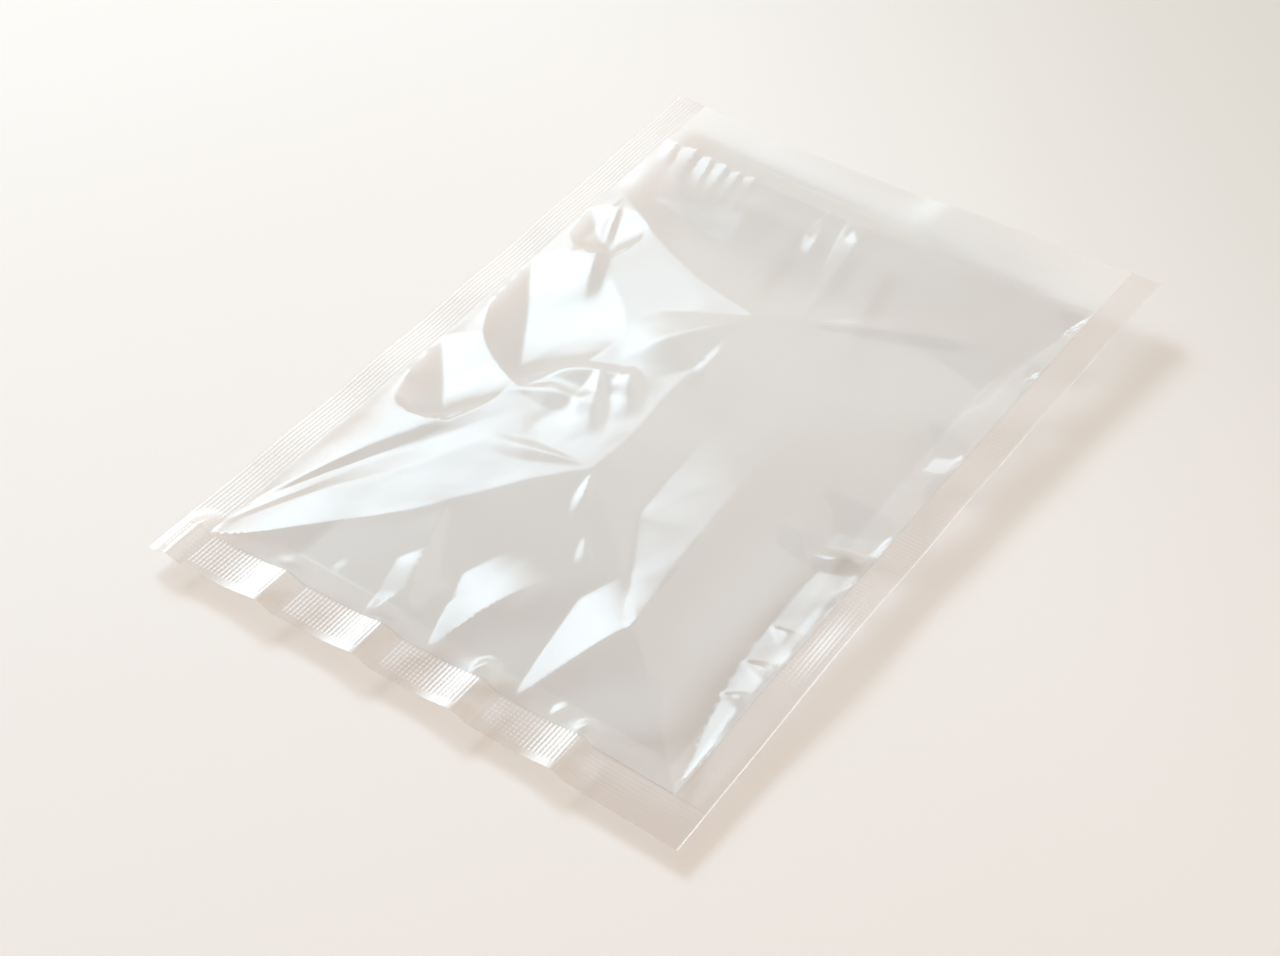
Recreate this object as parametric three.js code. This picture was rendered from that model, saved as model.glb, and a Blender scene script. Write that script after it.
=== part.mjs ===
// Vacuum seal bag: an empty pouch of clear nylon and polyethylene film, lying on a table.
// Two webs of film are heat-sealed along the bottom and both sides. The fourth end is the mouth,
// whose lips lie shut. A little air is left inside, so the top film stands up as a low hipped pillow
// that is gathered along its seals, and the bottom film lies flat where it rests on the table.
// Millimetres, +Z up. X runs across the bag and +Y along it, from the bottom seal to the mouth.
// The origin is on the table, under the middle of the bag.

import * as THREE from "three";

// Driving dimensions of the flat bag
const BAG_WIDTH = 160;
const BAG_LENGTH = 230;
const FILM = 0.09;
const SIDE_SEAL = 9;
const BOTTOM_SEAL = 12;
const LIP_LENGTH = 20;

// How the bag lies: heights of its four corners above the table, and how far its sides are drawn in
const LIFT_BOTTOM_LEFT = 4;
const LIFT_BOTTOM_RIGHT = 3;
const LIFT_MOUTH_LEFT = 6;
const LIFT_MOUTH_RIGHT = 10;
const PULL_IN = 1.5;

// The pillow: a hipped roof, its rise above the seals, the ends of its ridge, and how much farther the
// far hips reach at the side seals, the left one in a bow. Each slope is a little steeper at its foot.
const RIDGE_RISE = 10.5;
const RIDGE_NEAR = -38;
const RIDGE_FAR = 35;
const FAR_HIP_LEFT = 16;
const FAR_HIP_LEFT_BOW = 18;
const FAR_HIP_RIGHT = 40;
const FAR_HOLLOW = 1.8;
const FOOT_SHARE = 0.15;
const FOOT_POWER = 5;

// Slopes at which the bottom film climbs from the table to each seal and to the fold of the lips
const CLIMB_LEFT = 0.2;
const CLIMB_RIGHT = 0.5;
const CLIMB_NEAR = 0.9;
const CLIMB_FAR = 0.2;
const FILM_CLEARANCE = 0.2;

// Ripples of the sealed edges: the bottom seal is scalloped up to its last scallop, the sides are waved
const SCALLOP_HEIGHT = 1.5;
const SCALLOP_PITCH = 30;
const SCALLOP_START = -12.5;
const SCALLOP_CLIMB = 0.9;
const SCALLOP_POWER = 3.5;
const SCALLOP_END = 43;
const SCALLOP_REACH = 8;
const WAVE_LEFT = 0.3;
const WAVE_RIGHT = 0.2;
const WAVE_PITCH = 38;
const WAVE_REACH = 24;

// The lips: how far their fold dips below a straight line to the bottom seal, a soft step in their height
// across the bag, where their left half sags, and the gap of the mouth
const LIP_DIP = 2.4;
const LIP_STEP = 1.2;
const LIP_STEP_AT = 10;
const LIP_STEP_WIDTH = 6;
const LIP_SAG = 1;
const LIP_SAG_AT = -45;
const LIP_SAG_END = 60;
const LIP_SAG_REACH = 4;
const LIP_GAP = 0.5;

// Facets: steps up each side slope, the three stretches along it, and the seals and lips
const SLOPE_STEPS = 14;
const NEAR_STEPS = 13;
const RIDGE_STEPS = 14;
const FAR_STEPS = 12;
const SIDE_SEAL_STEPS = 1;
const BOTTOM_SEAL_STEPS = 2;
const LIP_STEPS = 3;

// The seal lines that bound the hollow, and the fold line at the foot of the lips
const HALF_WIDTH = BAG_WIDTH / 2;
const HALF_LENGTH = BAG_LENGTH / 2;
const SEAL_X = HALF_WIDTH - SIDE_SEAL;
const SEAL_Y = BOTTOM_SEAL - HALF_LENGTH;
const FOLD_Y = HALF_LENGTH - LIP_LENGTH;

// Valleys between the gathers of the left seal. Each runs along a line and climbs to its tip. The film
// climbs on the left of the way, and on the right lies a floor that narrows to the tip, leans a little,
// and ends in a steep flank.
const VALLEY_POWER = 5;
const VALLEY_LEAN = 0.1;
const VALLEY_STEEP = 0.4;
const VALLEYS = [
  { start: [-73, 57], end: [-50, 38], tip: 3.2, climb: 0.34, floor: 11 },
  { start: [-73, 31], end: [-38, -19], tip: 5, climb: 0.25, floor: 20 },
  { start: [-73, -14], end: [-46, -43], tip: 3.8, climb: 0.28, floor: 22 },
];

// Gathers and creases of the top film: tents along a line, with a width to the left and to the right of
// the way they run. They open from a tip and are fullest at the share swell of their run. One whose
// height is below nought is a gutter.
const TIP_WIDTH = 0.05;
const FOLD_MARGIN = 3;
const BOTTOM_GATHERS = [
  { start: [-27, SEAL_Y], end: [-14, -82], widths: [7, 4], height: 1.8, swell: 0.5 },
  { start: [-2, SEAL_Y], end: [14, -64], widths: [9, 6], height: 2.5, swell: 0.45 },
  { start: [-24, -66], end: [-12, SEAL_Y], widths: [4, 36], height: 1.9, swell: 0.5 },
  { start: [24, SEAL_Y], end: [40, -62], widths: [14, 7], height: 3.5, swell: 0.62 },
];
const LEFT_CREASES = [
  { start: [-64, 64], end: [-42, 14], widths: [4, 9], height: 1.2, swell: 0.6 },
  { start: [1, 34], end: [-21, 3], widths: [10, 14], height: 1.3, swell: 0.6 },
  { start: [-72, -100], end: [-30, -26], widths: [6, 7], height: -0.9, swell: 0.55 },
  { start: [-38, -14], end: [-2, -3], widths: [4, 8], height: 1, swell: 0.4 },
];
const RIGHT_CREASES = [
  { start: [36, -98], end: [31, 16], widths: [14, 8], height: 2.5, swell: 0.45 },
  { start: [71, SEAL_Y], end: [59, -16], widths: [13, 10], height: -4.4, swell: 0.7 },
  { start: [66, -26], end: [66, -6], widths: [13, 5], height: 3.6, swell: 0.5 },
  { start: [70, 13], end: [67, 33], widths: [9, 3], height: 3.4, swell: 0.5 },
  { start: [12, 41], end: [62, 69], widths: [14, 3], height: 1, swell: 0.5 },
];
const MOUTH_GATHERS = [
  { start: [-25, 62], end: [-37, FOLD_Y], widths: [28, 10], height: 2.4, swell: 0.5 },
  { start: [1, FOLD_Y], end: [11, 37], widths: [5, 5], height: 1.5, swell: 0.5 },
];
const TOP_FOLDS = [...BOTTOM_GATHERS, ...LEFT_CREASES, ...RIGHT_CREASES, ...MOUTH_GATHERS];

const { clamp, lerp, smoothstep } = THREE.MathUtils;

// One at a seal line and in the seal, falling to nought this far inside it
const fade = (inside, reach) => 1 - smoothstep(inside, 0, reach);

// Share of the way across the bag, from -1 to 1, turned into a bow that is 1 in the middle
const bow = (share) => 1 - share * share;

// In the seals the two films are fused
const inSeal = (x, y) => Math.abs(x) >= SEAL_X || y <= SEAL_Y;

// A scallop of the bottom seal: it climbs more and more, then drops quickly
function scallop(x) {
  const turns = (x - SCALLOP_START) / SCALLOP_PITCH;
  const share = turns - Math.floor(turns);
  const climbing = share < SCALLOP_CLIMB;
  return climbing ? (share / SCALLOP_CLIMB) ** SCALLOP_POWER : (1 - share) / (1 - SCALLOP_CLIMB);
}

// Height of the seals' middle plane, where the two films meet, carried on over the whole bag
function sealHeight(x, y) {
  const across = x / BAG_WIDTH + 0.5;
  const along = y / BAG_LENGTH + 0.5;
  const bottom = lerp(LIFT_BOTTOM_LEFT, LIFT_BOTTOM_RIGHT, across);
  const mouth = lerp(LIFT_MOUTH_LEFT, LIFT_MOUTH_RIGHT, across);
  const scallops = SCALLOP_HEIGHT * scallop(x) * fade(x - SCALLOP_END, FOLD_MARGIN);
  const wave = (x < 0 ? WAVE_LEFT : WAVE_RIGHT) * Math.sin((2 * Math.PI * y) / WAVE_PITCH);
  const inward = (y + HALF_LENGTH) / (FOLD_Y + HALF_LENGTH);
  const outward = (HALF_LENGTH - y) / LIP_LENGTH;
  const dip = bow(clamp(x / SEAL_X, -1, 1)) * Math.min(inward, outward);
  const slackX = smoothstep(x, -HALF_WIDTH, LIP_SAG_AT) * (1 - smoothstep(x, LIP_SAG_AT, LIP_SAG_END));
  const slackY = smoothstep(y, FOLD_Y - LIP_SAG_REACH, FOLD_Y + LIP_SAG_REACH);
  const step = Math.tanh((x - LIP_STEP_AT) / LIP_STEP_WIDTH) - x / HALF_WIDTH;
  return (
    lerp(bottom, mouth, along) +
    scallops * fade(y - SEAL_Y, SCALLOP_REACH) +
    wave * bow(y / HALF_LENGTH) * fade(SEAL_X - Math.abs(x), WAVE_REACH) +
    LIP_STEP * step * fade(HALF_LENGTH - y, LIP_LENGTH) -
    LIP_DIP * dip -
    LIP_SAG * slackX * slackY
  );
}

// Where a point lies by a line: its share of the way along, and its distance to the left of it
function besideLine({ start, end }, x, y) {
  const [dx, dy] = [end[0] - start[0], end[1] - start[1]];
  const [px, py] = [x - start[0], y - start[1]];
  const length = Math.hypot(dx, dy);
  return { run: (px * dx + py * dy) / length ** 2, offset: (py * dx - px * dy) / length };
}

// Height of a gather or crease at a point
function foldHeight(fold, x, y) {
  const { run: unbounded, offset } = besideLine(fold, x, y);
  const run = clamp(unbounded, 0, 1);
  const swelling = Math.min(run / fold.swell, 1);
  const body = Math.sin((Math.PI / 2) * swelling) * (1 - smoothstep(run, fold.swell, 1));
  const width = fold.widths[offset > 0 ? 0 : 1] * Math.min(1, TIP_WIDTH + swelling);
  return fold.height * body * Math.max(0, 1 - Math.abs(offset) / width);
}

// Height of a valley's floor and flanks at a point, above the seal plane
function valleyHeight({ tip, climb, floor, ...line }, x, y) {
  const { run, offset } = besideLine(line, x, y);
  const bed = tip * Math.max(run, 0) ** VALLEY_POWER;
  const width = floor * Math.sqrt(clamp(1 - run, 0, 1));
  const below = VALLEY_LEAN * Math.min(-offset, width) + VALLEY_STEEP * Math.max(-offset - width, 0);
  return bed + (offset > 0 ? climb * offset : below);
}

// Share of the roof's full height: a slope to each side, times a slope to each end that starts at the
// hips, which run from the ends of the ridge to the corners
function roofShare(x, y) {
  const out = clamp(Math.abs(x) / SEAL_X, 0, 1);
  const nearHip = lerp(RIDGE_NEAR, SEAL_Y, out);
  const farReach = x < 0 ? FAR_HIP_LEFT + FAR_HIP_LEFT_BOW * out : FAR_HIP_RIGHT;
  const farHip = RIDGE_FAR + farReach * out;
  const near = nearHip > SEAL_Y ? clamp((y - SEAL_Y) / (nearHip - SEAL_Y), 0, 1) : 1;
  const far = clamp((FOLD_Y - y) / (FOLD_Y - farHip), 0, 1) ** FAR_HOLLOW;
  const side = FOOT_SHARE * (1 - out ** FOOT_POWER) + (1 - FOOT_SHARE) * (1 - out);
  return side * Math.min(near, far);
}

// Half the gap between the lips, which narrows to nothing at the side seals
function halfMouth(x, y) {
  return (LIP_GAP / 2) * bow(x / SEAL_X) * smoothstep(y, FOLD_Y - LIP_LENGTH, FOLD_Y);
}

// Height of the top film over the seal plane: roof, valleys, gathers and the gap of the mouth
function topRise(x, y) {
  const clear = (1 - fade(y - SEAL_Y, FOLD_MARGIN)) * (1 - fade(FOLD_Y - y, FOLD_MARGIN));
  const sides = 1 - fade(SEAL_X - Math.abs(x), FOLD_MARGIN);
  const folds = TOP_FOLDS.reduce((sum, fold) => sum + foldHeight(fold, x, y), 0) * clear * sides;
  const valleys = VALLEYS.map((valley) => valleyHeight(valley, x, y));
  const roof = Math.min(RIDGE_RISE * roofShare(x, y), ...valleys);
  const lowest = bottomRise(x, y) + FILM_CLEARANCE * clear * sides;
  return Math.max(roof + folds + halfMouth(x, y), lowest);
}

// Height of the bottom film over the seal plane, which is below nought: it lies flat on the table, and
// climbs at a steady slope to the seals and to the fold of the lips
function bottomRise(x, y) {
  const climb = Math.min(
    CLIMB_LEFT * (SEAL_X + x),
    CLIMB_RIGHT * (SEAL_X - x),
    CLIMB_NEAR * (y - SEAL_Y),
    CLIMB_FAR * Math.max(FOLD_Y - y, 0),
  );
  return Math.max(FILM - sealHeight(x, y), -halfMouth(x, y) - climb);
}

// The pillow takes up width and length, so each side is drawn in towards its middle
function drawnIn(x, y) {
  const sideways = PULL_IN * bow(y / HALF_LENGTH) * (x / HALF_WIDTH) * Math.abs(x / HALF_WIDTH);
  const lengthways = PULL_IN * bow(x / HALF_WIDTH) * (y / HALF_LENGTH) * Math.abs(y / HALF_LENGTH);
  return [x - sideways, y - lengthways];
}

// Evenly spaced values over a run, without its last one
const spaced = (from, to, steps) =>
  Array.from({ length: steps }, (_, k) => lerp(from, to, k / steps));

const columns = [
  ...spaced(-HALF_WIDTH, -SEAL_X, SIDE_SEAL_STEPS),
  ...spaced(-SEAL_X, 0, SLOPE_STEPS),
  ...spaced(0, SEAL_X, SLOPE_STEPS),
  ...spaced(SEAL_X, HALF_WIDTH, SIDE_SEAL_STEPS),
  HALF_WIDTH,
];
const rows = [
  ...spaced(-HALF_LENGTH, SEAL_Y, BOTTOM_SEAL_STEPS),
  ...spaced(SEAL_Y, RIDGE_NEAR, NEAR_STEPS),
  ...spaced(RIDGE_NEAR, RIDGE_FAR, RIDGE_STEPS),
  ...spaced(RIDGE_FAR, FOLD_Y, FAR_STEPS),
  ...spaced(FOLD_Y, HALF_LENGTH, LIP_STEPS),
  HALF_LENGTH,
];
const leftSeal = SIDE_SEAL_STEPS;
const rightSeal = columns.length - 1 - SIDE_SEAL_STEPS;
const bottomSeal = BOTTOM_SEAL_STEPS;
const lastColumn = columns.length - 1;
const lastRow = rows.length - 1;

// The bag as one closed skin: both films' outer faces, the hollow between them, and the cut edges
function bagGeometry() {
  const positions = [];
  const triangles = [];
  const ids = new Map();

  // Vertex of a skin at a grid node. On the seal lines both inner skins share one vertex.
  function vertex(skin, i, j) {
    const onSealLine = i === leftSeal || i === rightSeal || j === bottomSeal;
    const name = skin.inner && onSealLine ? "weld" : skin.name;
    const key = `${name} ${i} ${j}`;
    if (!ids.has(key)) {
      const [x, y] = [columns[i], rows[j]];
      const rise = inSeal(x, y) ? 0 : skin.rise(x, y);
      positions.push(...drawnIn(x, y), sealHeight(x, y) + rise + skin.thickness);
      ids.set(key, positions.length / 3 - 1);
    }
    return ids.get(key);
  }

  // A flat polygon, as a fan from its first corner
  function face(corners) {
    for (let k = 1; k + 1 < corners.length; k += 1) {
      triangles.push(corners[0], corners[k], corners[k + 1]);
    }
  }

  // A film face over a block of cells. Diagonals follow the hips, towards the middle of the bag.
  function sheet(skin, from, to, firstRow, facesUp) {
    for (let i = from; i < to; i += 1) {
      for (let j = firstRow; j < lastRow; j += 1) {
        const ring = [
          vertex(skin, i, j),
          vertex(skin, i + 1, j),
          vertex(skin, i + 1, j + 1),
          vertex(skin, i, j + 1),
        ];
        const onLeft = columns[i] < 0;
        const nearBottom = 2 * rows[j] < RIDGE_NEAR + RIDGE_FAR;
        if (onLeft !== nearBottom) ring.push(ring.shift());
        const [first, second, third, fourth] = ring;
        face(facesUp ? ring : [first, fourth, third, second]);
      }
    }
  }

  const inTop = { name: "inner top", inner: true, rise: topRise, thickness: 0 };
  const outTop = { name: "outer top", inner: false, rise: topRise, thickness: FILM };
  const inBottom = { name: "inner bottom", inner: true, rise: bottomRise, thickness: 0 };
  const outBottom = { name: "outer bottom", inner: false, rise: bottomRise, thickness: -FILM };

  sheet(outTop, 0, lastColumn, 0, true);
  sheet(outBottom, 0, lastColumn, 0, false);
  sheet(inTop, leftSeal, rightSeal, bottomSeal, false);
  sheet(inBottom, leftSeal, rightSeal, bottomSeal, true);

  // Cut edges of the two sides and the bottom
  function cutEdge(start, end) {
    face([
      vertex(outBottom, ...start),
      vertex(outBottom, ...end),
      vertex(outTop, ...end),
      vertex(outTop, ...start),
    ]);
  }
  for (let j = 0; j < lastRow; j += 1) {
    cutEdge([0, j + 1], [0, j]);
    cutEdge([lastColumn, j], [lastColumn, j + 1]);
  }
  for (let i = 0; i < lastColumn; i += 1) cutEdge([i, 0], [i + 1, 0]);

  // Cut edges of the mouth: one strip across each side seal, and one on each lip between them
  for (let i = 0; i < lastColumn; i += 1) {
    const bottomEdge = [vertex(outBottom, i + 1, lastRow), vertex(outBottom, i, lastRow)];
    const topEdge = [vertex(outTop, i, lastRow), vertex(outTop, i + 1, lastRow)];
    const isLip = i >= leftSeal && i < rightSeal;
    if (isLip) {
      face([...bottomEdge, vertex(inBottom, i, lastRow), vertex(inBottom, i + 1, lastRow)]);
      face([...topEdge, vertex(inTop, i + 1, lastRow), vertex(inTop, i, lastRow)]);
    } else if (i + 1 === leftSeal) {
      face([vertex(inTop, leftSeal, lastRow), ...bottomEdge, ...topEdge]);
    } else if (i === rightSeal) {
      face([vertex(inTop, rightSeal, lastRow), ...topEdge, ...bottomEdge]);
    } else {
      face([...bottomEdge, ...topEdge]);
    }
  }

  const geometry = new THREE.BufferGeometry();
  geometry.setAttribute("position", new THREE.Float32BufferAttribute(positions, 3));
  geometry.setIndex(triangles);
  geometry.computeVertexNormals();
  return geometry;
}

const clearFilm = new THREE.MeshStandardMaterial({
  color: 0xe9e6df,
  roughness: 0.08,
  metalness: 0,
  transparent: true,
  opacity: 0.35,
});

const bag = new THREE.Mesh(bagGeometry(), clearFilm);
bag.name = "vacuum_bag";

const group = new THREE.Group();
group.add(bag);

export default group;
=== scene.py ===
# %% [markdown]
# # A vacuum seal bag in clear film
# This lesson dresses an empty vacuum bag that lies on a pale table. The bag is two webs of clear
# nylon and polyethylene film, heat-sealed along the bottom and both sides. Film is nearly nothing to
# look at: what the eye reads is the light that its folds throw back. So most of the work goes into
# the folds, and into a lamp that they can mirror.

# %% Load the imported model
import math

import bpy
import numpy as np
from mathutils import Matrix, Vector


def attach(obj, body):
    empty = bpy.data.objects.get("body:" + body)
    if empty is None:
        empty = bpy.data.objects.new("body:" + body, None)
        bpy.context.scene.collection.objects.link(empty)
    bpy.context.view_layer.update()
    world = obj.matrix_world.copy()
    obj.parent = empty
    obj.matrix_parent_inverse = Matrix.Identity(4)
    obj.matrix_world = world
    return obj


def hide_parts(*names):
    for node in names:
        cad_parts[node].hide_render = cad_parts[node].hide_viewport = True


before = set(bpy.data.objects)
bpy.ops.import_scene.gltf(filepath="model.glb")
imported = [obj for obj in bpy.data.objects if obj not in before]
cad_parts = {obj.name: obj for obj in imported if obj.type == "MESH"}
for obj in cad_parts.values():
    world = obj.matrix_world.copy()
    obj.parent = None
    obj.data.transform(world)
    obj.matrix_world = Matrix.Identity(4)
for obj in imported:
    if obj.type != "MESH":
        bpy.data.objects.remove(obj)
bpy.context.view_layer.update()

MM = 0.001

# %% [markdown]
# ## The camera
# The four corners of the bag in the picture were fitted to a flat rectangle of 160 by 230 mm. That
# gives the camera: a short telephoto lens, looking down at 44 degrees over the bag's bottom right
# corner. It stays as fitted, so every fold can be placed on the bag itself.

# %% Place the camera
IMAGE_WIDTH = 1280
FOCAL_PIXELS = 2539
SENSOR = 36.0
VIEW_AZIMUTH = math.radians(35.6)
VIEW_ELEVATION = math.radians(44.1)
VIEW_TARGET = Vector((2.4, -20.9, 0.0)) * MM
VIEW_DISTANCE = 651 * MM


def direction(azimuth, elevation):
    """Unit vector from the bag outwards: azimuth turns from -Y towards +X, elevation is up from level."""
    level = math.cos(elevation)
    return Vector((math.sin(azimuth) * level, -math.cos(azimuth) * level, math.sin(elevation)))


camera = bpy.data.objects.new("camera", bpy.data.cameras.new("camera"))
bpy.context.collection.objects.link(camera)
to_viewer = direction(VIEW_AZIMUTH, VIEW_ELEVATION)
camera.location = VIEW_TARGET + to_viewer * VIEW_DISTANCE
camera.rotation_euler = (-to_viewer).to_track_quat("-Z", "Y").to_euler()
camera.data.sensor_width = SENSOR
camera.data.lens = FOCAL_PIXELS * SENSOR / IMAGE_WIDTH
camera.data.clip_start = 0.01
bpy.context.scene.camera = camera
print("lens:", round(camera.data.lens, 1), "mm")

# %% [markdown]
# ## Colours and nodes
# Colours are written as the sRGB hex values that one would read off a screen, and turned to the linear
# values that the renderer works in. One small function adds a node, sets it and links it.


# %% Helpers for colours and nodes
def linear(hex_colour):
    """sRGB hex to linear RGBA: each channel is taken through the sRGB curve's inverse."""
    channels = np.array([int(hex_colour[k : k + 2], 16) for k in (1, 3, 5)]) / 255
    curved = np.where(channels <= 0.04045, channels / 12.92, ((channels + 0.055) / 1.055) ** 2.4)
    return (*curved.tolist(), 1.0)


def add_node(tree, kind, settings=None, inputs=None, links=None):
    """Adds a node of a kind, with attributes, socket values and links from other nodes' outputs."""
    node = tree.nodes.new(kind)
    for name, value in (settings or {}).items():
        setattr(node, name, value)
    for socket, value in (inputs or {}).items():
        node.inputs[socket].default_value = value
    for socket, output in (links or {}).items():
        tree.links.new(output, node.inputs[socket])
    return node


def new_material(name):
    """An empty node material and its output node."""
    material = bpy.data.materials.new(name)
    material.use_nodes = True
    material.node_tree.nodes.clear()
    return material, add_node(material.node_tree, "ShaderNodeOutputMaterial")


# %% [markdown]
# ## Light
# A large soft panel stands at the far left, low enough that film leaning to the left mirrors it while
# level film doesn't. Its place comes from the shadows: a corner 10 mm up throws its shadow some 17 mm
# away, to the right and nearer. It is brightest in its middle and fades all the way to its rim, as a
# lamp behind a diffuser does, so that curved film shows greys between white and clear.

# %% Soft panel
PANEL_TURN = math.radians(-30)
PANEL_ELEVATION = math.radians(31)
PANEL_DISTANCE = 3.4
PANEL_SIZE = (4.05, 2.59)
PANEL_POWER = 254.0
PANEL_RIM = 0.5
DAYLIGHT = "#d7f0ff"

panel_data = bpy.data.lights.new("panel", "AREA")
panel_data.shape = "RECTANGLE"
panel_data.size, panel_data.size_y = PANEL_SIZE
panel_data.energy = PANEL_POWER
panel_data.color = linear(DAYLIGHT)[:3]
panel_data.use_nodes = True
glow = panel_data.node_tree
glow.nodes.clear()
place = add_node(glow, "ShaderNodeNewGeometry")
sides = add_node(glow, "ShaderNodeSeparateXYZ", links={0: place.outputs["Parametric"]})
fades = []
for side in ("X", "Y"):
    inward = add_node(glow, "ShaderNodeMath", {"operation": "PINGPONG"}, {1: 0.5}, {0: sides.outputs[side]})
    fades.append(
        add_node(
            glow,
            "ShaderNodeMapRange",
            {"interpolation_type": "SMOOTHSTEP"},
            {"From Max": PANEL_RIM},
            {"Value": inward.outputs[0]},
        )
    )
strength = add_node(
    glow, "ShaderNodeMath", {"operation": "MULTIPLY"}, links={0: fades[0].outputs[0], 1: fades[1].outputs[0]}
)
lamp = add_node(glow, "ShaderNodeEmission", links={"Strength": strength.outputs[0]})
add_node(glow, "ShaderNodeOutputLight", links={0: lamp.outputs[0]})


def hang(lamp_data, turn, elevation, distance):
    """Places a lamp facing the bag: turned so far from straight behind it, at an elevation and distance."""
    lamp = bpy.data.objects.new(lamp_data.name, lamp_data)
    bpy.context.collection.objects.link(lamp)
    outward = direction(VIEW_AZIMUTH + math.pi - turn, elevation)
    lamp.location = outward * distance
    lamp.rotation_euler = (-outward).to_track_quat("-Z", "Y").to_euler()
    print(lamp.name, "at", [round(c, 2) for c in lamp.location], "m")
    return lamp


hang(panel_data, PANEL_TURN, PANEL_ELEVATION, PANEL_DISTANCE)

# %% [markdown]
# A smaller key lamp from the same side gives the shadows their edge. It is kept out of the film's
# mirror, where it would burn a hole in the panel.

# %% Key lamp
KEY_POWER = 112.0
KEY_SIZE = 0.8
KEY_TURN = math.radians(-19)
KEY_ELEVATION = math.radians(28.5)
KEY_DISTANCE = 3.4
key_data = bpy.data.lights.new("key", "AREA")
key_data.shape = "DISK"
key_data.size = KEY_SIZE
key_data.energy = KEY_POWER
key_data.color = linear(DAYLIGHT)[:3]
key = hang(key_data, KEY_TURN, KEY_ELEVATION, KEY_DISTANCE)
key.visible_glossy = False

# %% [markdown]
# The rest of the light is the room. Light that has bounced about a cream room is warm, so the fill is
# warm. What the film mirrors is the room's pale wall, so camera and mirror rays meet that instead. One
# corner of the ceiling, up at the near left, is dim: the lips and the near slope lean that way, and
# look greyer than the rest for it. The wall's colour hangs on the dot product with that corner.

# %% Room
FILL_STRENGTH = 0.51
DIM_CORNER = (-0.5, -0.5, 0.7)
world = bpy.data.worlds.new("pale room")
world.use_nodes = True
bpy.context.scene.world = world
room = world.node_tree
room.nodes.clear()
rays = add_node(room, "ShaderNodeLightPath")
seen = add_node(
    room,
    "ShaderNodeMath",
    {"operation": "ADD"},
    links={0: rays.outputs["Is Camera Ray"], 1: rays.outputs["Is Glossy Ray"]},
)
seen = add_node(
    room,
    "ShaderNodeMath",
    {"operation": "ADD", "use_clamp": True},
    links={0: seen.outputs[0], 1: rays.outputs["Is Transmission Ray"]},
)
view = add_node(room, "ShaderNodeTexCoord")
to_ceiling = add_node(
    room,
    "ShaderNodeVectorMath",
    {"operation": "DOT_PRODUCT"},
    {1: DIM_CORNER},
    {0: view.outputs["Generated"]},
)
wall = add_node(room, "ShaderNodeValToRGB", links={0: to_ceiling.outputs["Value"]})
stops = wall.color_ramp.elements
stops[0].color, stops[1].color = linear("#fbf0e2"), linear("#938b86")
for share, colour in ((0.34, "#fff8ec"), (0.47, "#a09893")):
    stops.new(share).color = linear(colour)
fill = add_node(room, "ShaderNodeBackground", inputs={0: linear("#ffdab6"), 1: FILL_STRENGTH})
shown = add_node(room, "ShaderNodeBackground", links={0: wall.outputs[0]})
both = add_node(
    room, "ShaderNodeMixShader", links={0: seen.outputs[0], 1: fill.outputs[0], 2: shown.outputs[0]}
)
add_node(room, "ShaderNodeOutputWorld", links={0: both.outputs[0]})
bpy.context.scene.view_settings.view_transform = "Standard"
print("room:", world.name, "with a fill of", FILL_STRENGTH)

# %% [markdown]
# ## The table
# A smooth cream table top. It is only a stage, but clear film shows it everywhere, so its colour
# matters as much as the film's. The light falls off towards the far right, which the paint takes up:
# it darkens along one way over the table, between two distances in metres.

# %% Table top
TABLE_HALF = 3.0
TABLE_DROP = 0.05
SHADE_WAY = (0.47, 0.89, 0.0)
SHADE_RANGE = (0.03, 0.3)
table_mesh = bpy.data.meshes.new("table")
corners = [(-TABLE_HALF, -TABLE_HALF, 0), (TABLE_HALF, -TABLE_HALF, 0)]
corners += [(TABLE_HALF, TABLE_HALF, 0), (-TABLE_HALF, TABLE_HALF, 0)]
table_mesh.from_pydata(corners, [], [(0, 1, 2, 3)])
table = bpy.data.objects.new("table", table_mesh)
bpy.context.collection.objects.link(table)
table.location.z = -TABLE_DROP * MM
table_paint, table_out = new_material("cream table top")
table_tree = table_paint.node_tree
spot = add_node(table_tree, "ShaderNodeTexCoord")
away = add_node(
    table_tree,
    "ShaderNodeVectorMath",
    {"operation": "DOT_PRODUCT"},
    {1: SHADE_WAY},
    {0: spot.outputs["Object"]},
)
shade = add_node(
    table_tree,
    "ShaderNodeMapRange",
    {"interpolation_type": "SMOOTHSTEP"},
    {"From Min": SHADE_RANGE[0], "From Max": SHADE_RANGE[1]},
    {"Value": away.outputs["Value"]},
)
cream = add_node(
    table_tree,
    "ShaderNodeMix",
    {"data_type": "RGBA"},
    {"A": linear("#f3f0ed"), "B": linear("#dad6cf")},
    {"Factor": shade.outputs["Result"]},
)
paint = add_node(
    table_tree,
    "ShaderNodeBsdfPrincipled",
    inputs={"Roughness": 0.75, "Specular IOR Level": 0.2},
    links={"Base Color": cream.outputs["Result"]},
)
table_tree.links.new(paint.outputs[0], table_out.inputs["Surface"])
table_mesh.materials.append(table_paint)
print("table:", 2 * TABLE_HALF, "m wide")

# %% [markdown]
# ## The flat bag and how it lies
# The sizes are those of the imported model, in millimetres. X runs across the bag, and Y along it from
# the bottom seal to the mouth.

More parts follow.
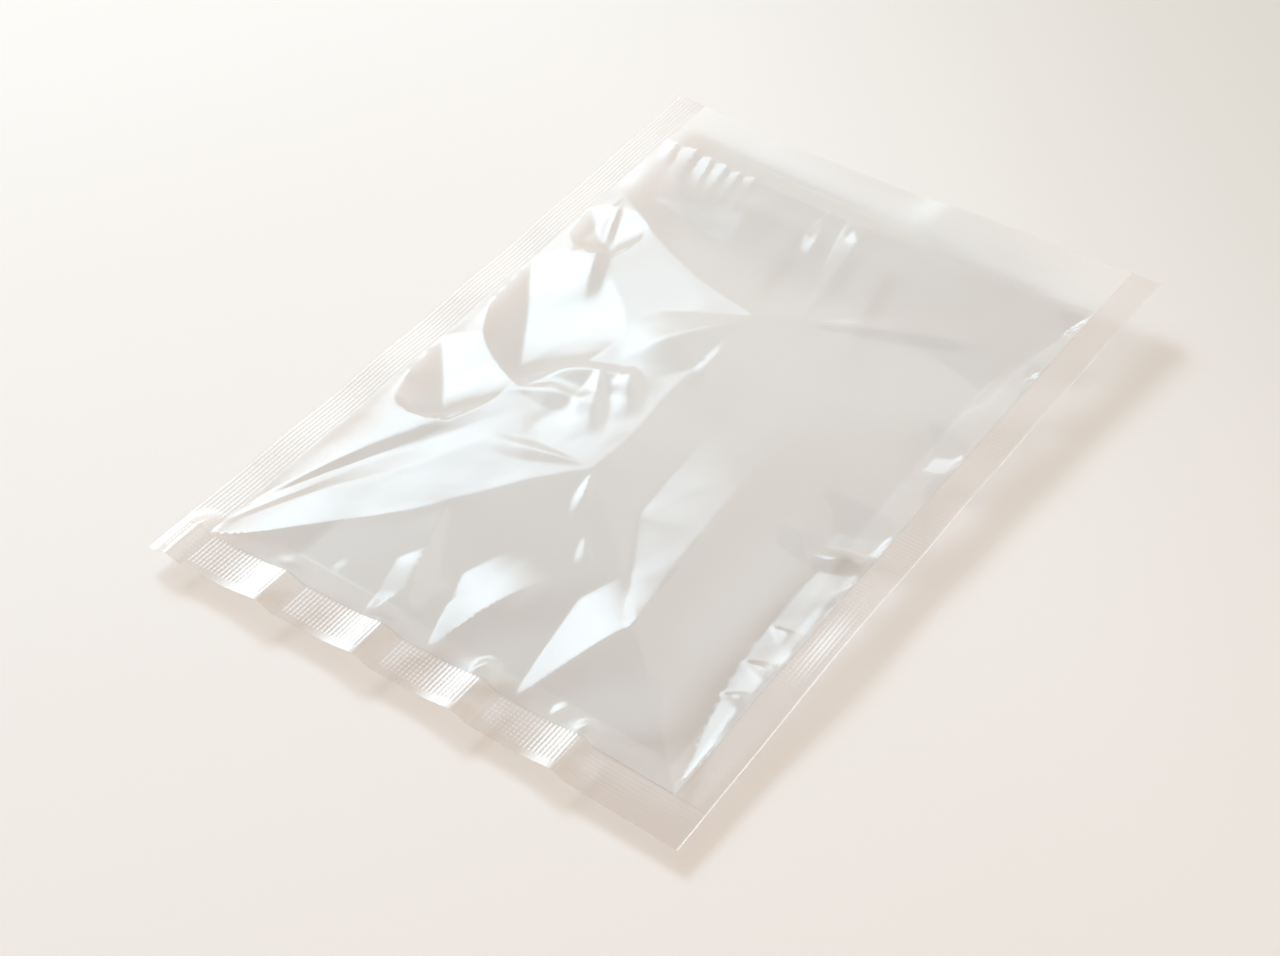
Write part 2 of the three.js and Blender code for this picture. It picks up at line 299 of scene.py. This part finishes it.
# %% Sizes of the bag
BAG_WIDTH = 160.0
BAG_LENGTH = 230.0
FILM = 0.09
SIDE_SEAL = 9.0
BOTTOM_SEAL = 12.0
LIP_LENGTH = 20.0
HALF_WIDTH = BAG_WIDTH / 2
HALF_LENGTH = BAG_LENGTH / 2
SEAL_X = HALF_WIDTH - SIDE_SEAL
SEAL_Y = BOTTOM_SEAL - HALF_LENGTH
FOLD_Y = HALF_LENGTH - LIP_LENGTH
LIFT_BOTTOM = (4.0, 3.0)  # left and right corner
LIFT_MOUTH = (6.0, 10.0)
PULL_IN = 1.5
print("flat bag:", BAG_WIDTH, "by", BAG_LENGTH, "mm, clear film", 2 * SEAL_X, "mm wide")

# %% [markdown]
# The films meet in a middle plane that is lifted at the corners. Sealing shrinks the film, so the
# plane ripples gently along the side seals and stands in scallops along the bottom seal. Between the
# side seals it dips, most of all where the lips begin. The lips sag left of the middle, and step up
# right of it.

# %% The middle plane of the seals
BOTTOM_RIPPLE = 1.8
SCALLOP_START, SCALLOP_PITCH, SCALLOP_REACH = -9.6, 30.0, 8.0
FIRST_SCALLOP, LAST_SCALLOP = (-80.0, -72.0), (44.0, 49.0)
SIDE_RIPPLE = (0.3, 0.2)  # left and right seal
SIDE_PITCH = 38.0
RIPPLE_REACH = 24.0
LIP_STEP, LIP_STEP_AT, LIP_STEP_WIDTH = 0.6, 10.0, 6.0
LIP_DIP = 2.4
LIP_SAG, LIP_SAG_AT, LIP_SAG_END = 1.0, -45.0, 60.0
LIP_SAG_ALONG = (FOLD_Y - 1, FOLD_Y + 7)
TILT, TILT_AT, TILT_LENGTH = 1.0, -46.0, 15.0


def ease(value, low, high):
    """Smooth step: 0 below low, 1 above high, with level ends."""
    t = np.clip((value - low) / (high - low), 0, 1)
    return t * t * (3 - 2 * t)


def bow(share):
    """A parabola that is 1 in the middle of a side and 0 at its ends, where share is -1 and 1."""
    return 1 - share * share


def wave(place, start, pitch):
    """A sine wave of a pitch that rises through 0 at start."""
    return np.sin(2 * np.pi * (place - start) / pitch)


def scallop(place, start, pitch, climb=0.82):
    """A saw-tooth of height 1 that starts at start: it climbs late, s to the sixth times (7 - 6 s), so
    that its crest is round, and then drops quickly."""
    share = np.mod((place - start) / pitch, 1)
    up = np.minimum(share / climb, 1)
    return np.where(share < climb, up**6 * (7 - 6 * up), 1 - ease(share, climb, 1))


def seal_height(x, y):
    """Height of the plane where both films meet: four lifted corners joined straight, plus scallops
    along the bottom and a ripple along each side that die away inside the seals, plus a step across the
    lips, less their dip and sag, plus a tilt of the right seal at one place, as a bell curve along it."""
    across = x / BAG_WIDTH + 0.5
    along = y / BAG_LENGTH + 0.5
    bottom = LIFT_BOTTOM[0] + (LIFT_BOTTOM[1] - LIFT_BOTTOM[0]) * across
    mouth = LIFT_MOUTH[0] + (LIFT_MOUTH[1] - LIFT_MOUTH[0]) * across
    inward = (y + HALF_LENGTH) / (FOLD_Y + HALF_LENGTH)
    outward = (HALF_LENGTH - y) / LIP_LENGTH
    bottom_ripple = BOTTOM_RIPPLE * scallop(x, SCALLOP_START, SCALLOP_PITCH)
    bottom_ripple = bottom_ripple * ease(x, *FIRST_SCALLOP) * (1 - ease(x, *LAST_SCALLOP))
    side_ripple = np.where(x < 0, *SIDE_RIPPLE) * wave(y, 0, SIDE_PITCH) * bow(y / HALF_LENGTH)
    lip = LIP_STEP * (np.tanh((x - LIP_STEP_AT) / LIP_STEP_WIDTH) - x / HALF_WIDTH)
    tilt = TILT * ease(x, SEAL_X, HALF_WIDTH) * np.exp(-(((y - TILT_AT) / TILT_LENGTH) ** 2))
    slack = ease(x, -HALF_WIDTH, LIP_SAG_AT) * (1 - ease(x, LIP_SAG_AT, LIP_SAG_END))
    slack = slack * ease(y, *LIP_SAG_ALONG)
    return (
        bottom
        + (mouth - bottom) * along
        + bottom_ripple * (1 - ease(y - SEAL_Y, 0, SCALLOP_REACH))
        + side_ripple * (1 - ease(SEAL_X - np.abs(x), 0, RIPPLE_REACH))
        + lip * (1 - ease(HALF_LENGTH - y, 0, LIP_LENGTH))
        - LIP_DIP * bow(np.clip(x / SEAL_X, -1, 1)) * np.minimum(inward, outward)
        - LIP_SAG * slack
        + tilt
    )


# %% [markdown]
# ## The folds of the top film
# Air under the top film makes it a low hipped roof. Its ridge sways a little, its near left hip bows
# outwards, and each long slope is steeper at its foot, where the film turns into the seal.

# %% Hipped roof
RIDGE_RISE = 10.5
RIDGE_NEAR, RIDGE_FAR = -38.0, 35.0
SWAY, SWAY_START, SWAY_PITCH = 0.8, 10.0, 44.0
NEAR_HIP_BOW = 54.0
FAR_HIPS = (16.0, 40.0)  # left and right
FAR_HIP_BOW = 18.0
FAR_HOLLOW = 1.8
LEFT_FOOT, RIGHT_FOOT = (0.28, 7), (0.15, 5)


def round_foot(out, share, power):
    """A slope from 1 to 0 as out goes from 0 to 1, of which a share is rounded off and steep at its foot."""
    return share * (1 - out**power) + (1 - share) * (1 - out)


def roof(x, y):
    """Share of the full height, 1 on the ridge: a slope to each side, times a slope to each end that
    starts at the hip lines, which run from the ridge's ends to the corners. The left hips are bowed, the
    near one by the out share squared times what is left of it, the far one by its square."""
    x = x - SWAY * wave(y, SWAY_START, SWAY_PITCH) * bow(np.clip(x / SEAL_X, -1, 1))
    out = np.clip(np.abs(x) / SEAL_X, 0, 1)
    left = x < 0
    hip_near = RIDGE_NEAR + (SEAL_Y - RIDGE_NEAR) * out - NEAR_HIP_BOW * left * out**2 * (1 - out)
    hip_far = RIDGE_FAR + np.where(left, *FAR_HIPS) * out + FAR_HIP_BOW * left * out**2
    near = np.clip((y - SEAL_Y) / np.maximum(hip_near - SEAL_Y, 1e-3), 0, 1)
    far = np.clip((FOLD_Y - y) / (FOLD_Y - hip_far), 0, 1)
    side = np.where(left, round_foot(out, *LEFT_FOOT), round_foot(out, *RIGHT_FOOT))
    return side * np.minimum(near, far**FAR_HOLLOW)


print("ridge:", RIDGE_FAR - RIDGE_NEAR, "mm long,", RIDGE_RISE, "mm over the seals")

# %% [markdown]
# Stiff film can't stretch, so wherever it is gathered into a seal it breaks into folds: flat facets
# that meet in sharp creases. Each fold is a tent along a line. A height below zero makes it a gutter.

# %% A fold
CREASE_ROUND = 0.35
TIP_WIDTH = 0.05


def fold(x, y, start, end, widths, height, swell=0.4, hold=0.0, curve=0.0):
    """A tent along a line from start to end, bowed sideways by curve. Its two flanks have their own
    widths, left and right of the way it runs. It opens from a point, is fullest at the share swell of
    its run, holds its height for the share hold, and dies away."""
    dx, dy = end[0] - start[0], end[1] - start[1]
    length = math.hypot(dx, dy)
    ux, uy = dx / length, dy / length
    run = np.clip(((x - start[0]) * ux + (y - start[1]) * uy) / length, 0, 1)
    offset = (y - start[1]) * ux - (x - start[0]) * uy - curve * 4 * run * (1 - run)
    body = np.sin(np.pi / 2 * np.minimum(run / swell, 1)) * (1 - ease(run, swell + hold, 1))
    width = np.where(offset > 0, widths[0], widths[1]) * np.minimum(1, TIP_WIDTH + run / swell)
    rounded = np.sqrt(offset**2 + CREASE_ROUND**2) - CREASE_ROUND
    return height * body * np.maximum(0, 1 - rounded / width)


# %% [markdown]
# On the left the film is drawn into the seal at three places. Each of them is a valley, which is broad
# at the seal, narrows inwards and runs out at a tip on the slope. The film is as low as the lowest of
# the roof and the valleys.


# %% A valley
def valley(x, y, start, end, tip, climb, floor, taper=1.0, lean=0.1, steep=0.4):
    """Height of a valley over a line from start to end, which climbs to the height tip by the fifth power
    of the run. Left of the way the film climbs at a slope. Right of it lies a floor that leans only a
    little, then a steep flank. The floor narrows to the tip as the rest of the run to the power taper."""
    dx, dy = end[0] - start[0], end[1] - start[1]
    length = math.hypot(dx, dy)
    ux, uy = dx / length, dy / length
    run = np.maximum(((x - start[0]) * ux + (y - start[1]) * uy) / length, 0)
    offset = (y - start[1]) * ux - (x - start[0]) * uy
    width = floor * np.maximum(1 - run, 0) ** taper
    below = lean * np.minimum(-offset, width) + steep * np.maximum(-offset - width, 0)
    return tip * run**5 + np.where(offset > 0, climb * offset, below)


VALLEYS = [
    dict(start=(-73, 57), end=(-50, 38), tip=4.3, climb=0.34, floor=12),
    dict(start=(-73, 31), end=(-38, -19), tip=5.8, climb=0.25, floor=16),
    dict(start=(-73, -10), end=(-46, -40), tip=4.8, climb=0.28, floor=22, taper=0.5),
]
print(len(VALLEYS), "valleys")

# %% [markdown]
# The folds themselves were read off the picture turned to a plan of the bag. Each one has a start
# and an end, the widths of its two flanks, and a height, all in millimetres.

# %% Folds, one by one
FOLDS = [
    # gathers of the bottom seal
    dict(start=(-39.5, SEAL_Y), end=(-36, -95), widths=(3, 2), height=0.6),
    dict(start=(-35, SEAL_Y), end=(-31, -88), widths=(3.5, 2.5), height=1.0),
    dict(start=(-21, SEAL_Y), end=(-7, -82), widths=(11, 4), height=2.6, swell=0.5),
    dict(start=(-2, SEAL_Y), end=(15, -64), widths=(15, 6), height=3.7, swell=0.45),
    dict(start=(11, SEAL_Y), end=(16, -94), widths=(3, 2), height=0.8),
    dict(start=(-24, -66), end=(-12, SEAL_Y), widths=(4, 36), height=2.8, swell=0.5),
    dict(start=(24, SEAL_Y), end=(44, -62), widths=(17, 12), height=4.1, swell=0.62),
    dict(start=(34, SEAL_Y), end=(38, -95), widths=(2.5, 2), height=0.7),
    dict(start=(42, SEAL_Y), end=(45, -97), widths=(2, 2), height=0.5),
    # small gather of the left seal
    dict(start=(-73, -25), end=(-62, -30), widths=(3, 4), height=0.5, swell=0.4),
    # long folds of the left slope
    dict(start=(-64, 64), end=(-42, 14), widths=(4, 9), height=1.2, swell=0.6, curve=-2),
    dict(start=(1, 34), end=(-22, 2), widths=(13, 14), height=1.7, swell=0.6),
    dict(start=(-72, -100), end=(-30, -26), widths=(6, 7), height=-0.9, swell=0.55, curve=1),
    dict(start=(-72, -95), end=(-40, -38), widths=(2, 2.5), height=-0.5, swell=0.5, curve=1),
    dict(start=(-3, -37), end=(-36, -42), widths=(4, 3), height=0.6, swell=0.5),
    # small facets under the left face
    dict(start=(-38, -14), end=(-2, -3), widths=(4, 8), height=1.0, swell=0.4, curve=3),
    dict(start=(-38, -22), end=(-12, -18), widths=(5, 5), height=0.8, swell=0.4, curve=2),
    dict(start=(-22, -4), end=(-8, -30), widths=(4, 6), height=1.0, swell=0.5),
    dict(start=(-16, 1), end=(-4, -18), widths=(4, 5), height=1.0, swell=0.4),
    # crest of the ridge
    dict(start=(-1, 24), end=(4, 0), widths=(3, 2.5), height=0.6, swell=0.6),
    dict(start=(0, -38), end=(7, -56), widths=(2.5, 2.5), height=0.7, swell=0.5),
    dict(start=(10, -55), end=(20, -68), widths=(2.5, 3), height=0.7, swell=0.5),
    # right slope
    dict(start=(38, -76), end=(31, 16), widths=(18, 13), height=4.3, swell=0.4),
    dict(start=(71, -103), end=(60, -20), widths=(20, 11), height=-3.8, swell=0.6, hold=0.33, curve=5),
    dict(start=(60, -47), end=(74, -50), widths=(2, 3), height=0.8, swell=0.5),
    dict(start=(61, -60), end=(74, -62), widths=(3, 2), height=0.8, swell=0.5),
    dict(start=(62, -72), end=(74, -70), widths=(2, 3), height=0.8, swell=0.5),
    dict(start=(57, -25), end=(54, -4), widths=(6, 17), height=-5.0, swell=0.4, hold=0.25),
    dict(start=(63, 10), end=(62, 33), widths=(6, 9), height=-3.4, swell=0.4, hold=0.2),
    dict(start=(66, 56), end=(69, 68), widths=(4, 5), height=-2.0, swell=0.4, hold=0.2),
    dict(start=(67, 80), end=(66, 92), widths=(4, 5), height=-2.0, swell=0.3, hold=0.4),
    dict(start=(12, 41), end=(62, 69), widths=(14, 3), height=1.0, swell=0.5),
    # mouth end
    dict(start=(-25, 62), end=(-37, 95), widths=(28, 10), height=2.5, swell=0.5),
    dict(start=(11, 38), end=(-2, 100), widths=(6, 5), height=2.0, swell=0.8),
    dict(start=(-70, 106), end=(-63, 80), widths=(1, 3.5), height=0.9, swell=0.35),
    dict(start=(-62, 106), end=(-56, 78), widths=(1, 6.5), height=1.6, swell=0.35),
    dict(start=(-57, 105), end=(-50, 77), widths=(1, 4.5), height=1.2, swell=0.35),
    dict(start=(-51, 106), end=(-45, 75), widths=(1, 5.5), height=1.5, swell=0.35),
    dict(start=(-46, 104), end=(-40, 75), widths=(1, 4.5), height=1.3, swell=0.35),
    dict(start=(-41, 106), end=(-35, 75), widths=(1, 5), height=1.4, swell=0.35),
    dict(start=(-30, 97), end=(-27, 84), widths=(1.5, 2), height=0.6),
    dict(start=(-14, 97), end=(-6, 70), widths=(2.5, 3.5), height=1.3, swell=0.55),
    dict(start=(-5, 96), end=(0, 84), widths=(2, 2.5), height=0.7),
]
print(len(FOLDS), "folds")

# %% [markdown]
# Between the folds the film is never quite flat. This small crumple is one formula: the difference of
# the squared distances to the nearest of two sets of scattered points. The squares cancel, so it is
# made of flat facets only, just as crumpled film is.

# %% Crumple between the folds
rng = np.random.default_rng(12)


def nearest_squared(x, y, points, sharpness=0.12):
    """Squared distance to the nearest of the points, rounded off where two are equally near: minus the
    log of the summed exponentials of minus sharpness times each squared distance."""
    squared = (x[..., None] - points[:, 0]) ** 2 + (y[..., None] - points[:, 1]) ** 2
    least = squared.min(axis=-1)
    return least - np.log(np.exp(-sharpness * (squared - least[..., None])).sum(axis=-1)) / sharpness


def scatter(spacing):
    """Points over the bag, one jittered at random in each cell of a square grid of this spacing."""
    gx, gy = np.meshgrid(
        np.arange(-HALF_WIDTH - spacing, HALF_WIDTH + spacing, spacing),
        np.arange(-HALF_LENGTH - spacing, HALF_LENGTH + spacing, spacing),
    )
    cells = np.stack([gx.ravel(), gy.ravel()], axis=1)
    return cells + rng.uniform(0, spacing, cells.shape)


def crumple(x, y, spacing, slope):
    """Flat facets about as wide as spacing, with slopes of about slope."""
    two_sets = nearest_squared(x, y, scatter(spacing)) - nearest_squared(x, y, scatter(spacing))
    return slope / spacing * two_sets


# %% [markdown]
# ## The two films
# The bottom film lies flat on the table and climbs to the seals, at a crease on the right and near
# sides and at a rounded foot on the others. The top film adds up everything so far. Where the gutters
# press it down it comes close to the bottom film, but it never passes through it.

# %% Heights of the films
LIP_GAP = 0.5
RISES = dict(left=0.2, right=0.5, near=0.4, far=0.2)
FOOT_ROUND, FOOT_CLEAR = 2.0, 12.0
FOOT_ACROSS, FOOT_ALONG = (45.0, 15.0), (-80.0, -50.0)
COARSE_CRUMPLE, FINE_CRUMPLE, SHAKEN_CRUMPLE = (22, 0.012), (8, 0.006), (11, 0.06)
SHAKEN_AT, SHAKEN_REACH = (-20.0, -18.0), 17.0
FOLD_MARGIN = 2.0
FILM_CLEARANCE, CLEARANCE_MARGIN = 0.2, 3.0


def seal_clearance(x, y, sides, ends):
    """0 on the seals, 1 once clear of them by so many mm at the sides and at the ends."""
    return (
        ease(SEAL_X - np.abs(x), 0, sides) * ease(y - SEAL_Y, 0, ends) * ease(FOLD_Y + ends - y, 0, ends)
    )


def half_mouth(x, y):
    """Half the gap between the lips: it opens at the fold line and closes at the side seals."""
    return LIP_GAP / 2 * bow(x / SEAL_X) * ease(y, FOLD_Y - LIP_LENGTH, FOLD_Y)


def bottom_height(x, y):
    """Inner face of the bottom film: flat on the table, and up at a steady slope to the seals. The foot of
    each slope is a crease on the right and near sides. On the others it is rounded, as a hyperbola."""
    climb = np.minimum.reduce(
        [
            RISES["left"] * (SEAL_X + x),
            RISES["right"] * (SEAL_X - x),
            RISES["near"] * (y - SEAL_Y),
            RISES["far"] * np.maximum(FOLD_Y - y, 0),
        ]
    )
    level = seal_height(x, y) - half_mouth(x, y) - climb - FILM
    rounded = ease(x, *FOOT_ACROSS) * ease(y, *FOOT_ALONG) * seal_clearance(x, y, FOOT_CLEAR, FOOT_CLEAR)
    bend = FOOT_ROUND * rounded
    return FILM + (level + np.sqrt(level**2 + bend**2)) / 2


def top_height(x, y):
    """Inner face of the top film: seal plane, roof, folds and crumple, kept above the bottom film. The
    strongest crumple is shaken in around one place only, falling off as a bell curve."""
    folds = sum(fold(x, y, **facts) for facts in FOLDS)
    shaken = np.exp(-((x - SHAKEN_AT[0]) ** 2 + (y - SHAKEN_AT[1]) ** 2) / SHAKEN_REACH**2)
    small = crumple(x, y, *COARSE_CRUMPLE) + crumple(x, y, *FINE_CRUMPLE)
    small = small + shaken * crumple(x, y, *SHAKEN_CRUMPLE)
    pillow = np.minimum.reduce([RIDGE_RISE * roof(x, y)] + [valley(x, y, **facts) for facts in VALLEYS])
    height = seal_height(x, y) + pillow + half_mouth(x, y)
    height = height + seal_clearance(x, y, FOLD_MARGIN, FOLD_MARGIN) * (folds + small)
    gap = FILM_CLEARANCE * seal_clearance(x, y, CLEARANCE_MARGIN, CLEARANCE_MARGIN)
    return np.maximum(height, bottom_height(x, y) + gap)


def drawn_in(x, y):
    """Plan place of a point of the flat bag: the pillow takes up film, so each side is drawn in."""
    u, v = x / HALF_WIDTH, y / HALF_LENGTH
    return x - PULL_IN * bow(v) * u * np.abs(u), y - PULL_IN * bow(u) * v * np.abs(v)


# %% [markdown]
# ## From surfaces to meshes
# Every piece of film is a thin closed sheet: two faces over one grid, and a rim round its edge. One
# function makes it from arrays of heights.

# %% Thin closed sheets
CREASE_ANGLE = math.radians(18)


def grid(x_range, y_range, step):
    """Even grid over a rectangle of the flat bag, with cells of about one step."""
    columns = max(1, round((x_range[1] - x_range[0]) / step))
    rows = max(1, round((y_range[1] - y_range[0]) / step))
    return np.meshgrid(np.linspace(*x_range, columns + 1), np.linspace(*y_range, rows + 1))


def film_sheet(name, x, y, upper, lower, material):
    """Closed sheet between two height arrays over a grid: quads above, quads below turned over, and a
    rim of quads round the border, which is walked once counter-clockwise."""
    rows, columns = x.shape
    px, py = drawn_in(x, y)
    heights = np.r_[upper.ravel(), lower.ravel()]
    points = np.stack([np.tile(px.ravel(), 2), np.tile(py.ravel(), 2), heights], 1)
    ids = np.arange(rows * columns).reshape(rows, columns)
    above = np.stack([ids[:-1, :-1], ids[:-1, 1:], ids[1:, 1:], ids[1:, :-1]], -1).reshape(-1, 4)
    below = above[:, ::-1] + ids.size
    border = np.r_[ids[0, :-1], ids[:-1, -1], ids[-1, :0:-1], ids[:0:-1, 0]]
    ahead = np.roll(border, -1)
    rim = np.stack([border + ids.size, ahead + ids.size, ahead, border], 1)
    mesh = bpy.data.meshes.new(name)
    mesh.from_pydata(points * MM, [], np.r_[above, below, rim].tolist())
    mesh.polygons.foreach_set("use_smooth", np.ones(len(mesh.polygons), dtype=bool))
    mesh.set_sharp_from_angle(angle=CREASE_ANGLE)
    mesh.materials.append(material)
    piece = bpy.data.objects.new(name, mesh)
    bpy.context.collection.objects.link(piece)
    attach(piece, "root")
    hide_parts("vacuum_bag")
    print(name, 2 * len(mesh.polygons), "triangles")
    return piece


# %% [markdown]
# ## Clear film
# Coextruded nylon and polyethylene is glossy, colourless and only faintly hazy. Each face mirrors
# about three parts in a hundred head on and more at a slant, scatters a little, and lets the rest
# through unbent because the film is so thin. Sealed film is two webs fused under a woven cover, so it
# is hazier and less smooth.

# %% Film material
SLANT_SHARE = 0.7
HAZE_COLOUR = "#f6f4f0"


def clear_film(name, tint, haze, roughness, reflectance):
    """Lets light straight through, less a haze, and mirrors a share that grows with slant: the head-on
    share plus the slant share times (1 - cosine) to the fifth."""
    material, out = new_material(name)
    tree = material.node_tree
    facing = add_node(tree, "ShaderNodeLayerWeight", inputs={"Blend": 0.5})
    fifth = add_node(tree, "ShaderNodeMath", {"operation": "POWER"}, {1: 5.0}, {0: facing.outputs["Facing"]})
    share = add_node(
        tree,
        "ShaderNodeMath",
        {"operation": "MULTIPLY_ADD"},
        {1: SLANT_SHARE, 2: reflectance},
        {0: fifth.outputs[0]},
    )
    through = add_node(tree, "ShaderNodeBsdfTransparent", inputs={"Color": linear(tint)})
    cloudy = add_node(tree, "ShaderNodeBsdfDiffuse", inputs={"Color": linear(HAZE_COLOUR)})
    body = add_node(
        tree, "ShaderNodeMixShader", inputs={0: haze}, links={1: through.outputs[0], 2: cloudy.outputs[0]}
    )
    mirror = add_node(
        tree, "ShaderNodeBsdfGlossy", inputs={"Color": (1, 1, 1, 1), "Roughness": roughness}
    )
    mix = add_node(
        tree, "ShaderNodeMixShader", links={0: share.outputs[0], 1: body.outputs[0], 2: mirror.outputs[0]}
    )
    tree.links.new(mix.outputs[0], out.inputs["Surface"])
    return material


film = clear_film(
    "clear nylon and polyethylene film", tint="#ffffff", haze=0.012, roughness=0.035, reflectance=0.028
)
sealed = clear_film("heat-sealed film", tint="#fbf9f8", haze=0.09, roughness=0.07, reflectance=0.045)
print("materials:", film.name, "and", sealed.name)

# %% [markdown]
# ## The films as pieces
# The top film has the finer grid, because its creases are what one sees. The bottom film's grid has
# one column moved onto the crease at the right, which would be jagged otherwise.

# %% Top and bottom film
TOP_STEP = 0.8
BOTTOM_STEP = 1.0
LEAST_CLIMB = 3.0
CREASE_COLUMN = -10


def right_crease(y):
    """Where the bottom film starts to climb to the right seal: its height there over the slope, away from
    the seal. The height hangs on the place, so the place is put back in a few times."""
    place = np.full_like(y, SEAL_X)
    for _ in range(3):
        drop = seal_height(place, y) - half_mouth(place, y) - FILM
        drop = np.minimum.reduce([drop, RISES["near"] * (y - SEAL_Y), RISES["far"] * (FOLD_Y - y)])
        place = SEAL_X - np.maximum(drop / RISES["right"], LEAST_CLIMB)
    return place


def along_crease(x, y):
    """Grid with one column moved onto that crease and the others spread evenly to both sides of it, so
    that the crease is sharp."""
    column = x[0, CREASE_COLUMN]
    crease = right_crease(y)
    inside = (x + SEAL_X) * (crease + SEAL_X) / (column + SEAL_X) - SEAL_X
    outside = SEAL_X - (SEAL_X - x) * (SEAL_X - crease) / (SEAL_X - column)
    return np.where(x <= column, inside, outside)


x, y = grid((-SEAL_X, SEAL_X), (SEAL_Y, HALF_LENGTH), TOP_STEP)
top = top_height(x, y)
top_film = film_sheet("top_film", x, y, top + FILM, top, film)
x, y = grid((-SEAL_X, SEAL_X), (SEAL_Y, HALF_LENGTH), BOTTOM_STEP)
x = along_crease(x, y)
bottom = bottom_height(x, y)
bottom_film = film_sheet("bottom_film", x, y, bottom, bottom - FILM, film)

# %% [markdown]
# ## Seals
# The sealing bars leave the print of their woven cover: a fine square mesh of dimples, with a plain
# strip outside it on the bottom seal. The real mesh is about 0.85 mm, which a picture of this size
# can't hold, so it is drawn a little coarser. The side seals carry a weaker print of the same mesh.

# %% Bottom and side seals
MESH_PITCH = 1.2  # coarser than the real 0.85 mm, which the picture can't hold
MESH_DEPTH = (0.065, 0.05)
MESH_STEP = MESH_PITCH / 4
PLAIN_STRIP, STRIP_EDGE = 2.3, 0.3
SIDE_PRINT = 0.6
EDGE_CURL = 0.12
CURL_WIDTH = 0.45


def woven_print(x, y):
    """Square mesh: half the sum of a wave across and a shallower wave along."""
    turns = 2 * np.pi / MESH_PITCH
    return (MESH_DEPTH[0] * np.cos(turns * x) + MESH_DEPTH[1] * np.cos(turns * y)) / 2


def seal_sheet(name, x_range, y_range, printed):
    """A fused band: the seal plane, a film's thickness to each side, with the mesh where it is printed
    and a fine curl up along the cut edge on the right."""
    x, y = grid(x_range, y_range, MESH_STEP)
    curl = EDGE_CURL * ease(x, HALF_WIDTH - CURL_WIDTH, HALF_WIDTH)
    plane = seal_height(x, y) + woven_print(x, y) * printed(x, y) + curl
    return film_sheet(name, x, y, plane + FILM, plane - FILM, sealed)


seal_sheet(
    "bottom_seal",
    (-HALF_WIDTH, HALF_WIDTH),
    (-HALF_LENGTH, SEAL_Y),
    lambda x, y: ease(y + HALF_LENGTH, PLAIN_STRIP - STRIP_EDGE, PLAIN_STRIP + STRIP_EDGE),
)
for name, side in (("left_seal", -1), ("right_seal", 1)):
    x_range = sorted((side * HALF_WIDTH, side * SEAL_X))
    seal_sheet(name, x_range, (SEAL_Y, HALF_LENGTH), lambda x, y: SIDE_PRINT)
